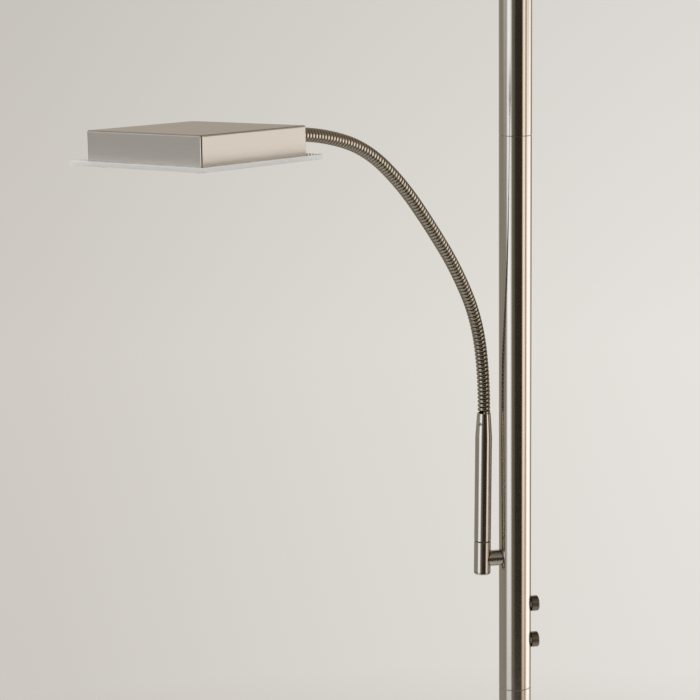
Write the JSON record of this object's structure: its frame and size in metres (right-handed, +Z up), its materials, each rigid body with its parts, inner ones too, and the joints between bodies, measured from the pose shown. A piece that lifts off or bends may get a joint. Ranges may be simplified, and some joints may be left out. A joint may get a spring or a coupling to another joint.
{
  "type": "torchiere floor lamp with reading light",
  "caption": "Slim torchiere floor lamp: square base, sectioned pole, flat square uplight with glass, and a square reading light on a flexible neck.",
  "frame": {"origin": "centre of the base's underside, on the pole's axis", "axes": "+Z up along the pole, +X from the pole toward the dimmer knobs, the reading arm on the -X side"},
  "size_m": [0.472, 0.404, 1.8103],
  "materials": {
    "felt_pad": "dense black felt",
    "cast_weight": "rough casting, painted",
    "inlet_plastic": "moulded, fine grain",
    "plated_steel": "zinc plated",
    "brushed_nickel": "satin brushed nickel plate",
    "neck_nickel": "bright nickel wire wound",
    "knob_nickel": "dark satin nickel",
    "switch_plastic": "moulded",
    "nylon_washer": "moulded",
    "tray_aluminium": "folded sheet",
    "circuit_board": "white solder mask",
    "opal_acrylic": "opal, satin",
    "clear_glass": "polished, ground edges",
    "screw_nickel": "polished"
  },
  "bodies": {
    "post": {"arm_hub": "brushed_nickel", "base_cover": "brushed_nickel", "base_nut": "plated_steel", "base_pad": "felt_pad", "base_rod": "plated_steel", "base_washer": "plated_steel", "base_weight": "cast_weight", "dimmer_lower": "switch_plastic", "dimmer_nuts": "plated_steel", "dimmer_upper": "switch_plastic", "hub_end_cap": "brushed_nickel", "knuckle": "brushed_nickel", "knuckle_nut": "plated_steel", "knuckle_rod": "plated_steel", "knuckle_saddle": "plated_steel", "lead_inlet": "inlet_plastic", "led_driver": "switch_plastic", "pole_collar": "brushed_nickel", "pole_coupling_1": "plated_steel", "pole_coupling_2": "plated_steel", "pole_coupling_3": "plated_steel", "pole_insert": "plated_steel", "pole_section_1": "brushed_nickel", "pole_section_2": "brushed_nickel", "pole_section_3": "brushed_nickel", "pole_section_4": "brushed_nickel", "top_fitting": "brushed_nickel", "top_nut": "plated_steel", "torchiere_diffuser": "opal_acrylic", "torchiere_glass": "clear_glass", "torchiere_glass_screws": "screw_nickel", "torchiere_led_board": "circuit_board", "torchiere_shell": "brushed_nickel", "torchiere_tray": "tray_aluminium"},
    "arm": {"swivel_washer": "nylon_washer", "swivel_stem": "plated_steel", "swivel_clip": "plated_steel", "arm_tube": "brushed_nickel", "grub_screw": "plated_steel", "neck_link_1": "neck_nickel"},
    "neck_2": {"neck_link_2": "neck_nickel"},
    "neck_3": {"neck_link_3": "neck_nickel"},
    "neck_4": {"neck_link_4": "neck_nickel"},
    "neck_5": {"neck_link_5": "neck_nickel"},
    "neck_6": {"neck_link_6": "neck_nickel"},
    "neck_7": {"neck_link_7": "neck_nickel"},
    "head": {"neck_link_8": "neck_nickel", "head_diffuser": "opal_acrylic", "head_ferrule": "brushed_nickel", "head_glass": "clear_glass", "head_glass_screws": "screw_nickel", "head_led_board": "circuit_board", "head_nut": "plated_steel", "head_shell": "brushed_nickel", "head_tray": "tray_aluminium"},
    "knob_upper_body": {"knob_upper": "knob_nickel", "dimmer_shaft_upper": "plated_steel"},
    "knob_lower_body": {"knob_lower": "knob_nickel", "dimmer_shaft_lower": "plated_steel"}
  },
  "joints": [
    {"name": "arm_swivel", "type": "hinge", "parent": "post", "child": "arm", "pos_m": [-0.02645, 0.00021, 1.0151], "axis": [0.0175, 0.0144, 0.9997], "range_deg": [-160, 65]},
    {"name": "neck_bend_1", "type": "hinge", "parent": "arm", "child": "neck_2", "pos_m": [-0.02773, -0.00085, 1.16652], "axis": [0.6351, -0.7724, 0], "range_deg": [-12, 12]},
    {"name": "neck_sway_2", "type": "hinge", "parent": "neck_2", "child": "neck_3", "pos_m": [-0.04163, -0.01228, 1.21209], "axis": [0.6514, 0.5357, 0.5373], "range_deg": [-12, 12]},
    {"name": "neck_bend_3", "type": "hinge", "parent": "neck_3", "child": "neck_4", "pos_m": [-0.06468, -0.03123, 1.25127], "axis": [0.6351, -0.7724, 0], "range_deg": [-12, 12]},
    {"name": "neck_sway_4", "type": "hinge", "parent": "neck_4", "child": "neck_5", "pos_m": [-0.09104, -0.0529, 1.28684], "axis": [0.5414, 0.4452, 0.7133], "range_deg": [-12, 12]},
    {"name": "neck_bend_5", "type": "hinge", "parent": "neck_5", "child": "neck_6", "pos_m": [-0.1204, -0.07705, 1.31813], "axis": [0.6351, -0.7724, 0], "range_deg": [-12, 12]},
    {"name": "neck_sway_6", "type": "hinge", "parent": "neck_6", "child": "neck_7", "pos_m": [-0.15489, -0.10541, 1.33843], "axis": [0.1934, 0.159, 0.9681], "range_deg": [-12, 12]},
    {"name": "neck_bend_7", "type": "hinge", "parent": "neck_7", "child": "head", "pos_m": [-0.19243, -0.13628, 1.34626], "axis": [0.6351, -0.7724, 0], "range_deg": [-12, 12]},
    {"name": "knob_upper_turn", "type": "hinge", "parent": "post", "child": "knob_upper_body", "pos_m": [0.0188, 0, 0.9607], "axis": [1, 0, 0], "range_deg": [-300, 0]},
    {"name": "knob_lower_turn", "type": "hinge", "parent": "post", "child": "knob_lower_body", "pos_m": [0.0188, 0, 0.9309], "axis": [1, 0, 0], "range_deg": [-300, 0]}
  ]
}
